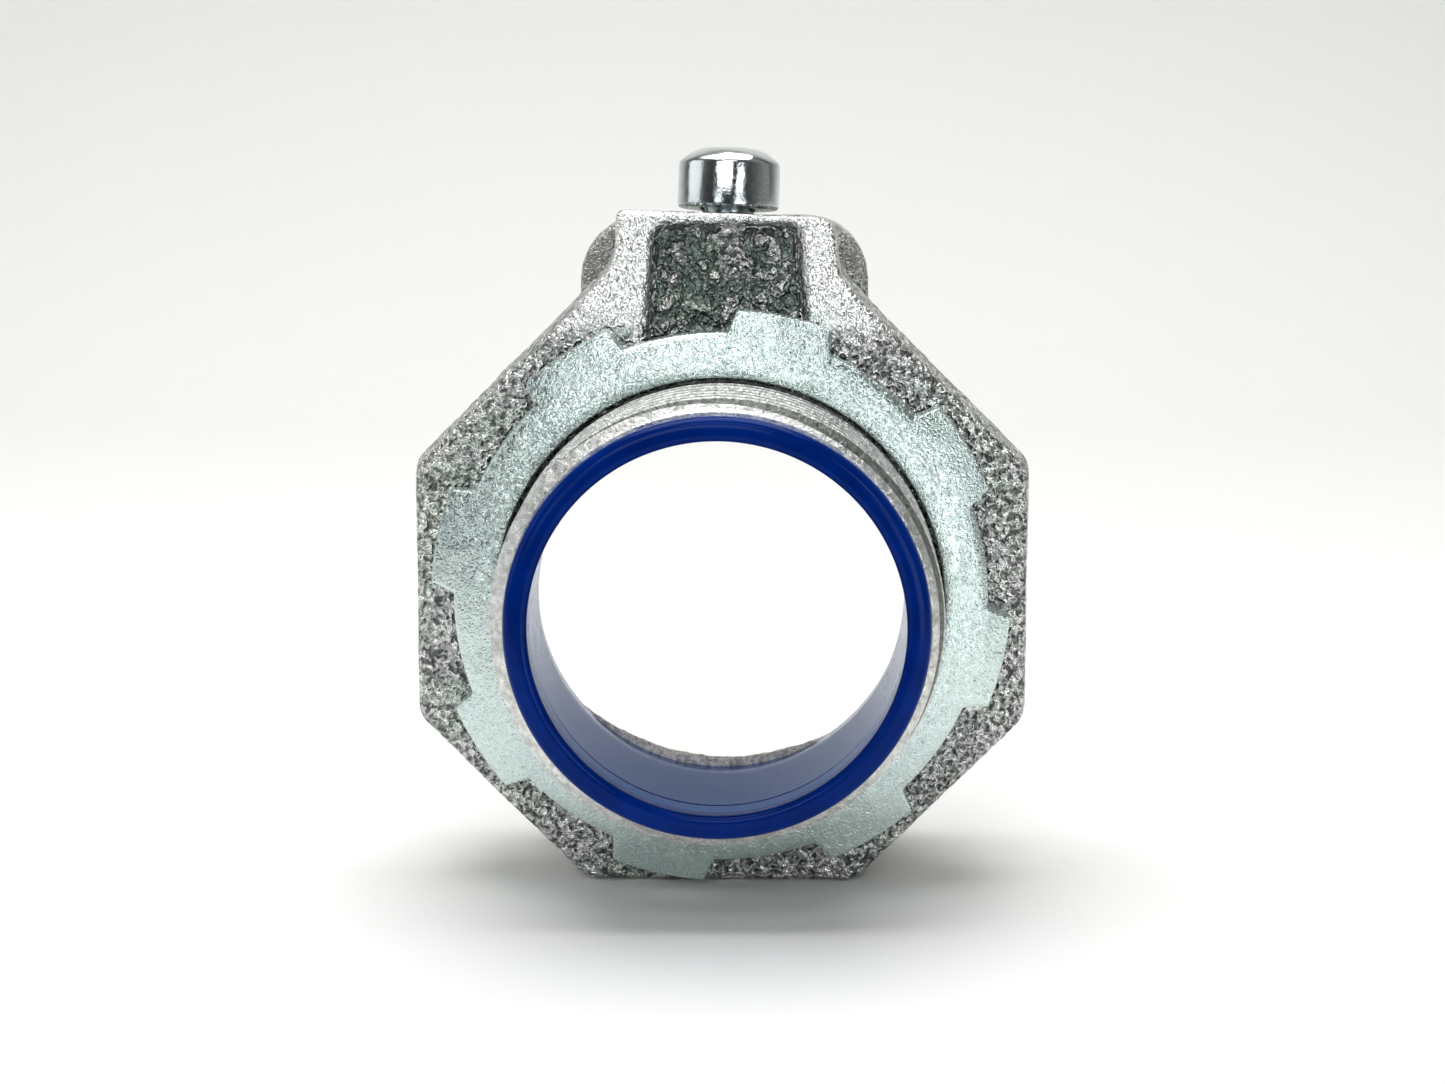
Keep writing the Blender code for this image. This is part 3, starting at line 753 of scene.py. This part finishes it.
class CONNECTOR_OT_cast_body(bpy.types.Operator):
    """Build the cast collar, neck and barrel with their sand-cast surface"""

    bl_idname = "connector.cast_body"
    bl_label = "Cast Body"

    def execute(self, context):
        wanted = context.scene.connector_cast_body
        middle, lean = pocket_floor()
        surface = cast_zinc(wanted, middle, lean)
        body = cad_copy("body_casting")
        # the hub is a piece of its own, so only what lies behind the collar's face is kept
        cut = bmesh.ops.bisect_plane(
            body,
            geom=[*body.verts, *body.edges, *body.faces],
            plane_co=(0.0, FACE_Y - 0.00005, 0.0),
            plane_no=(0.0, 1.0, 0.0),
            clear_inner=True,
        )
        rim = [e for e in cut["geom_cut"] if isinstance(e, bmesh.types.BMEdge)]
        bmesh.ops.bridge_loops(body, edges=rim)
        shape = remeshed(joined([as_mesh(body, "casting")]), wanted.voxel)
        roughened(shape, wanted.grain, self.grain_share)
        piece("cast_body", shape, "body", surface, ["body_casting"])
        self.relief(wanted, surface, middle, lean)
        self.stop_rim()
        return {"FINISHED"}

    @staticmethod
    def grain_share(point):
        """How much of the sand-cast texture a point takes."""
        screw_hole, inner = 0.0042, 0.0225  # radii about the screw and about the hub axis
        if (point - SCREW_SEAT).cross(SCREW_UP).length < screw_hole:
            return 0.0
        around = Vector((point.x - AXIS.x, point.z - AXIS.z)).length
        return 0.35 if around < inner else 1.0

    def stop_rim(self):
        """The rough edge of the conduit's stop, which shows low down behind the throat."""
        walls = cad_walls("body_casting")
        rear, reach = THROAT_HIGH.y, 0.0022
        first, arc = -141.0, 90.0  # degrees from +X towards +Z
        steps = 60
        end, rise = 0.0191, 0.00145  # the edge's radius at its ends, and how much less midway
        body = bmesh.new()
        rings = []
        for k in range(steps + 1):
            turn = math.radians(first + arc * k / steps)
            out = Vector((math.cos(turn), 0.0, math.sin(turn)))
            wall = walls.ray_cast(Vector((AXIS.x, rear + reach / 2, AXIS.z)), out)[3]
            if wall is None:
                raise RuntimeError("there is no wall behind the throat")
            low = end - rise * math.sin(math.pi * k / steps) ** 0.6
            ring = []
            for radius, y in (
                (wall + 0.0003, rear - 0.0001),
                (low + 0.0004, rear + 0.00005),
                (low + 0.0001, rear + 0.0003),
                (low, rear + 0.0008),
                (low, rear + 0.0014),
                (low + 0.0004, rear + 0.0020),
                (wall + 0.0003, rear + reach + 0.0006),
            ):
                ring.append(body.verts.new(Vector((AXIS.x, y, AXIS.z)) + out * radius))
            rings.append(ring)
        for near, far in zip(rings, rings[1:]):
            for i in range(len(near)):
                j = (i + 1) % len(near)
                body.faces.new((near[i], near[j], far[j], far[i]))
        for ring in (rings[0], rings[-1]):
            body.faces.new(ring)
        shape = remeshed(joined([as_mesh(body, "stop_rim")]), 0.00022)
        roughened(shape, 0.00016)
        piece("stop_rim", shape, "body", bare_casting())

    def relief(self, wanted, surface, middle, lean):
        """Raised lumps over the floor of the neck's pocket."""
        slab = bmesh.new()
        bmesh.ops.create_cube(slab, size=1.0)
        size = Matrix.Diagonal((0.0148, 0.0006, 0.0138, 1.0))
        turn = Matrix.Rotation(-lean, 4, "X")
        sunk = Vector((0.0, 0.00022, 0.0))  # so that only its front skin shows
        slab.transform(Matrix.Translation(middle + sunk) @ turn @ size)
        back = as_mesh(slab, "pocket_floor")
        lumps = grown(
            lump_tree(),
            {
                "Centre": middle,
                "Tilt": math.pi / 2 - lean,
                "Width": 0.0132,
                "Height": 0.0118,
                "Lump": wanted.lump,
                "Spacing": 0.00125,
                "Material": surface,
            },
        )
        shape = remeshed(joined([back, lumps]), 0.00021)
        roughened(shape, 0.00012)
        piece("neck_relief", shape, "body", surface)


class CONNECTOR_OT_hub_thread(bpy.types.Operator):
    """Build the threaded hub in front of the collar"""

    bl_idname = "connector.hub_thread"
    bl_label = "Hub Thread"

    def execute(self, context):
        wanted = context.scene.connector_hub_thread
        start = LIP_Y + wanted.face
        turns = round((FACE_Y + 0.0008 - start) / wanted.pitch * THREAD_ROWS) / THREAD_ROWS
        surface = machined_zinc(context.scene.connector_cast_body, wanted)
        tube = grown(
            thread_tree(),
            {
                "Pitch": wanted.pitch,
                "Turns": turns,
                "Root": wanted.root,
                "Crest": wanted.crest,
                "Lead in": 0.0011,
                "Run out": 0.0028,
                "Columns": COLUMNS,
                "Material": surface,
            },
        )
        end = turns * wanted.pitch
        inside = lathe(
            [
                (wanted.root, 0.0),
                (wanted.bore + 0.0003, 0.0),
                (wanted.bore, 0.0003),
                (wanted.bore, end),
                (wanted.root, end),
            ],
            closed=False,
        )
        mesh = to_hub(joined([tube, inside]), start)
        piece("hub_thread", mesh, "body", surface, sharp=28)
        return {"FINISHED"}


class CONNECTOR_OT_throat(bpy.types.Operator):
    """Build the blue throat sleeve with its rounded lip"""

    bl_idname = "connector.throat"
    bl_label = "Throat Sleeve"

    def execute(self, context):
        wanted = context.scene.connector_throat
        lip = (THROAT_HIGH.x - THROAT_LOW.x) / 2
        rear = THROAT_HIGH.y - LIP_Y
        # radius and distance behind the lip's front
        points = [
            (0.01985, rear - 0.0002),
            (0.01985, rear - 0.0036),
            (0.01845, rear - 0.0055),
            (0.01845, 0.0021),
            (0.01910, 0.0021),
            (lip - 0.00028, 0.0018),
            (lip, 0.0012),
            (lip - 0.00010, 0.0006),
            (lip - 0.00038, 0.0002),
            (lip - 0.00080, 0.0),
            (0.01820, 0.0),
            (0.01790, 0.00006),
            (0.01769, 0.00024),
            (0.01758, 0.0005),
            (0.01755, 0.0009),
            (0.01757, 0.0044),
            (0.01782, 0.0046),
            (0.01782, 0.0051),
            (0.01768, 0.0052),
            (0.01785, rear - 0.0060),
            (0.01790, rear - 0.0045),
            (0.01835, rear - 0.0004),
            (0.01850, rear),
            (0.01970, rear),
        ]
        mesh = to_hub(joined([lathe(points, 2 * COLUMNS)]), LIP_Y)
        surface = nylon(wanted.plastic, wanted.light_through_wall)
        piece("throat_sleeve", mesh, "body", surface, ["throat_insulator"], 40)
        return {"FINISHED"}


class CONNECTOR_OT_locknut(bpy.types.Operator):
    """Build the dished locknut with its lugs"""

    bl_idname = "connector.locknut"
    bl_label = "Locknut"

    def execute(self, context):
        wanted = context.scene.connector_locknut
        low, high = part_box("locknut")
        depth = high.y - low.y
        tip = (high.x - low.x) / 2 + 0.00002
        bore = 0.02165
        dish, dish_steps = 0.0017, 10  # how far the front falls back towards the rim
        # radius, distance behind the front, and 1 where the radius counts from the rim
        points = [
            (bore, 0.0007, 0.0),
            (bore + 0.00004, 0.00022, 0.0),
            (bore + 0.00016, 0.00005, 0.0),
        ]
        inner, outer = bore + 0.0004, 0.0279
        for k in range(dish_steps + 1):
            share = k / dish_steps
            points.append((inner + (outer - inner) * k / dish_steps, dish * share**1.4, 0.0))
        points += [
            (-0.00010, dish + 0.00008, 1.0),
            (0.0, dish + 0.00032, 1.0),
            (0.0, depth - 0.0004, 1.0),
            (-0.00010, depth - 0.0001, 1.0),
            (-0.0003, depth, 1.0),
            (0.0262, depth - 0.0006, 0.0),
            (0.0240, depth - 0.0013, 0.0),
            (bore + 0.0005, depth - 0.0018, 0.0),
            (bore, depth - 0.0021, 0.0),
            (bore, 0.0007, 0.0),
        ]
        strip = bpy.data.meshes.new("lug_profile")
        strip.from_pydata(points, [], [])
        profile = bpy.data.objects.new("lug_profile", strip)
        bpy.context.scene.collection.objects.link(profile)
        surface = plated_steel("plated_locknut", wanted.metal, 0.80, 0.00010, 0.00030, 0.24)
        mesh = grown(
            lug_ring_tree(),
            {
                "Profile": profile,
                "Points": len(points),
                "Columns": 10 * COLUMNS,
                "Lugs": wanted.lugs,
                "Turn": -wanted.turn,
                "Valley": wanted.valley,
                "Tip": tip,
                "Material": surface,
            },
        )
        bpy.data.objects.remove(profile)
        mesh = to_hub(joined([mesh], 2e-7), low.y)
        piece("lug_nut", mesh, "nut", surface, ["locknut"], 38)
        return {"FINISHED"}


class CONNECTOR_OT_saddle(bpy.types.Operator):
    """Build the saddle behind the neck"""

    bl_idname = "connector.saddle"
    bl_label = "Saddle"

    def execute(self, context):
        wanted = context.scene.connector_saddle
        shape = remeshed(as_mesh(cad_copy("saddle"), "saddle"), wanted.voxel, 5)
        roughened(shape, 0.00004)
        surface = plated_steel("plated_saddle", wanted.metal, 0.42, 0.00050, 0.0006, 0.28)
        piece("saddle_clamp", shape, "clamp", surface, ["saddle"])
        return {"FINISHED"}


class CONNECTOR_OT_screw(bpy.types.Operator):
    """Build the clamp screw with its slotted domed head, thread and foot"""

    bl_idname = "connector.screw"
    bl_label = "Clamp Screw"

    def execute(self, context):
        wanted = context.scene.connector_screw
        head, top, crest = wanted.head, wanted.height, wanted.crest
        place = SCREW_UP.to_track_quat("Z", "Y").to_matrix().to_4x4()
        place.translation = SCREW_SEAT
        # heights along the screw, from the underside of its head
        solid = frame["nodes"]["clamp_screw"].data
        local = [place.inverted() @ v.co for v in solid.vertices]
        foot = min(p.z for p in local)
        wide = [p.z for p in local if math.hypot(p.x, p.y) > crest - 0.0001]
        shoulder = min(z for z in wide if z > foot + 0.002)
        root = crest - 0.00072
        turns = math.floor((-0.0004 - shoulder) / wanted.pitch * THREAD_ROWS) / THREAD_ROWS
        run = turns * wanted.pitch
        surface = plated_steel("plated_screw", wanted.metal, 0.86, 0.00001, 0.00014, 0.125)
        tube = grown(
            bpy.data.node_groups["thread_sweep"],
            {
                "Pitch": wanted.pitch,
                "Turns": turns,
                "Root": root,
                "Crest": crest,
                "Lead in": 0.0007,
                "Run out": 0.0004,
                "Columns": SCREW_COLUMNS,
                "Material": surface,
            },
        )
        tube.transform(Matrix.Translation((0.0, 0.0, shoulder)))
        stem = crest - 0.0012
        lower = lathe(
            [
                (root, shoulder),
                (stem, shoulder),
                (stem, foot + 0.0012),
                (crest - 0.0001, foot + 0.0012),
                (crest, foot + 0.0011),
                (crest, foot + 0.0001),
                (crest - 0.0001, foot),
                (0.0, foot),
            ],
            SCREW_COLUMNS,
            False,
        )
        dome = [
            (root, shoulder + run),
            (crest - 0.0002, 0.0),
            (head - 0.00045, 0.0),
            (head - 0.00018, 0.00006),
            (head - 0.00004, 0.00022),
            (head, 0.00050),
            (head, top - 0.00172),
            (head - 0.00003, top - 0.00156),
            (head - 0.00014, top - 0.00138),
            (head - 0.00034, top - 0.00116),
            (head - 0.00068, top - 0.00090),
            (head - 0.00108, top - 0.00062),
            (head - 0.00150, top - 0.00038),
            (head - 0.00200, top - 0.00018),
            (head - 0.00270, top - 0.00006),
            (0.25 * head, top - 0.00001),
            (0.0, top),
        ]
        mesh = joined([tube, lower, lathe(dome, SCREW_COLUMNS, False)])
        depth, tall = 0.0019, 0.004  # of the driver slot, and of the block that cuts it
        turn = Matrix.Rotation(math.radians(12.0), 4, "Z")
        cutter = bmesh.new()
        bmesh.ops.create_cube(cutter, size=1.0)
        size = Matrix.Diagonal((3 * head, wanted.slot, tall, 1.0))
        lift = Matrix.Translation((0.0, 0.0, top - depth + tall / 2))
        cutter.transform(turn @ lift @ size)
        tool = bpy.data.objects.new("driver_slot", as_mesh(cutter, "driver_slot"))
        context.scene.collection.objects.link(tool)
        cut = {"operation": "DIFFERENCE", "solver": "EXACT", "object": tool}
        edge = {"width": 0.00009, "segments": 2, "limit_method": "ANGLE", "angle_limit": 0.9}
        mesh = finished(mesh, [("BOOLEAN", cut), ("BEVEL", edge)])
        bpy.data.objects.remove(tool)
        mesh.transform(place)
        piece("neck_screw", mesh, "screw", surface, ["clamp_screw"], 32)
        return {"FINISHED"}


class CONNECTOR_OT_stage(bpy.types.Operator):
    """Set up the sweep, the lights and the camera"""

    bl_idname = "connector.stage"
    bl_label = "Stage"

    def execute(self, context):
        wanted = context.scene.connector_stage
        self.sweep(context, wanted)
        self.lights(context)
        self.camera(context, wanted)
        return {"FINISHED"}

    def sweep(self, context, wanted):
        """A pale card that runs back from the front edge and curves up behind the part, painted darker where it
        rises as painted shade, with a slight warm tint.
        """
        start, bend, radius, top, side, steps = -0.15, 0.36, 0.10, 1.4, 1.6, 16
        line = [(start, 0.0), (0.0, 0.0), (0.2, 0.0), (bend, 0.0)]
        for k in range(1, steps + 1):
            angle = math.pi / 2 * k / steps
            line.append((bend + radius * math.sin(angle), radius * (1.0 - math.cos(angle))))
        line.append((bend + radius, top))
        body = bmesh.new()
        rows = [[body.verts.new((x, y, z)) for x in (-side, side)] for y, z in line]
        for near, far in zip(rows, rows[1:]):
            body.faces.new((near[0], near[1], far[1], far[0]))
        mesh = as_mesh(body, "sweep")
        for face in mesh.polygons:
            face.use_smooth = True
        made, g, shader, spot = new_surface("white_card")
        # painted shade: darker colour up the rising wall of the sweep
        card_and_wall_shade = blend(g, g.spread(g.split(spot)[2], 0.0, 0.14), wanted.floor, wanted.wall)
        g.tree.links.new(card_and_wall_shade, shader.inputs["Base Color"])
        shader.inputs["Roughness"].default_value = 0.75
        mesh.materials.append(made)
        item = bpy.data.objects.new("sweep", mesh)
        context.scene.collection.objects.link(item)
        item.location.z = -0.00005

    def lights(self, context):
        for name, spot, wide, high, power, tint in LIGHTS:
            data = bpy.data.lights.new(name, "AREA")
            data.shape = "RECTANGLE"
            data.size = wide
            data.size_y = high
            data.energy = power
            data.color = tint
            lamp = bpy.data.objects.new(name, data)
            lamp.location = spot
            aim = WALL_AIM if name == "back_wall" else LIGHT_AIM
            lamp.rotation_euler = (Vector(spot) - aim).to_track_quat("Z", "Y").to_euler()
            context.scene.collection.objects.link(lamp)
        world = bpy.data.worlds.new("studio")
        context.scene.world = world
        world.use_nodes = True
        g = Graph(world.node_tree)
        # the room is dark in front of the part and brighter behind it
        way = g.split(g.add("ShaderNodeTexCoord").outputs["Generated"])[1]
        behind = g.spread(way, -0.9, 0.2, 0.03, 0.30, smooth=True)
        shade = world.node_tree.nodes["Background"]
        tint = blend(g, behind, (0.0, 0.0, 0.0), (1.0, 1.0, 0.985))
        g.tree.links.new(tint, shade.inputs["Color"])
        shade.inputs["Strength"].default_value = 0.9

    def camera(self, context, wanted):
        data = bpy.data.cameras.new("camera")
        data.lens = wanted.lens
        data.sensor_width = 36.0
        data.clip_start = 0.01
        data.dof.use_dof = False
        item = bpy.data.objects.new("camera", data)
        item.location = Vector((AXIS.x, LIP_Y, AXIS.z)) + CAMERA_OFF
        item.rotation_euler = (math.radians(90.0 - CAMERA_DOWN), 0.0, math.radians(CAMERA_TURN))
        context.scene.collection.objects.link(item)
        context.scene.camera = item
        context.scene.view_settings.view_transform = "Standard"
        context.scene.view_settings.look = "Medium High Contrast"


class CONNECTOR_PT_panel(bpy.types.Panel):
    """Buttons for each piece"""

    bl_idname = "CONNECTOR_PT_panel"
    bl_label = "Conduit Saddle Connector"
    bl_space_type = "VIEW_3D"
    bl_region_type = "UI"
    bl_category = "Connector"

    def draw(self, context):
        for settings, operator in PIECES:
            box = self.layout.box()
            group = getattr(context.scene, settings)
            for key in group.bl_rna.properties.keys():
                if key not in ("rna_type", "name"):
                    box.prop(group, key)
            box.operator(operator.bl_idname)


GROUPS = (
    ("connector_cast_body", CastBodySettings),
    ("connector_hub_thread", HubThreadSettings),
    ("connector_throat", ThroatSettings),
    ("connector_locknut", LocknutSettings),
    ("connector_saddle", SaddleSettings),
    ("connector_screw", ScrewSettings),
    ("connector_stage", StageSettings),
)
PIECES = (
    ("connector_cast_body", CONNECTOR_OT_cast_body),
    ("connector_hub_thread", CONNECTOR_OT_hub_thread),
    ("connector_throat", CONNECTOR_OT_throat),
    ("connector_locknut", CONNECTOR_OT_locknut),
    ("connector_saddle", CONNECTOR_OT_saddle),
    ("connector_screw", CONNECTOR_OT_screw),
    ("connector_stage", CONNECTOR_OT_stage),
)
CLASSES = (*[g for _, g in GROUPS], *[o for _, o in PIECES], CONNECTOR_PT_panel)


def register():
    for item in CLASSES:
        bpy.utils.register_class(item)
    for name, group in GROUPS:
        setattr(bpy.types.Scene, name, bpy.props.PointerProperty(type=group))


def unregister():
    for name, _ in GROUPS:
        delattr(bpy.types.Scene, name)
    for item in reversed(CLASSES):
        bpy.utils.unregister_class(item)


def main():
    register()
    bpy.ops.connector.cast_body()
    bpy.ops.connector.hub_thread()
    bpy.ops.connector.throat()
    bpy.ops.connector.locknut()
    bpy.ops.connector.saddle()
    bpy.ops.connector.screw()
    bpy.ops.connector.stage()


if __name__ == "__main__":
    main()
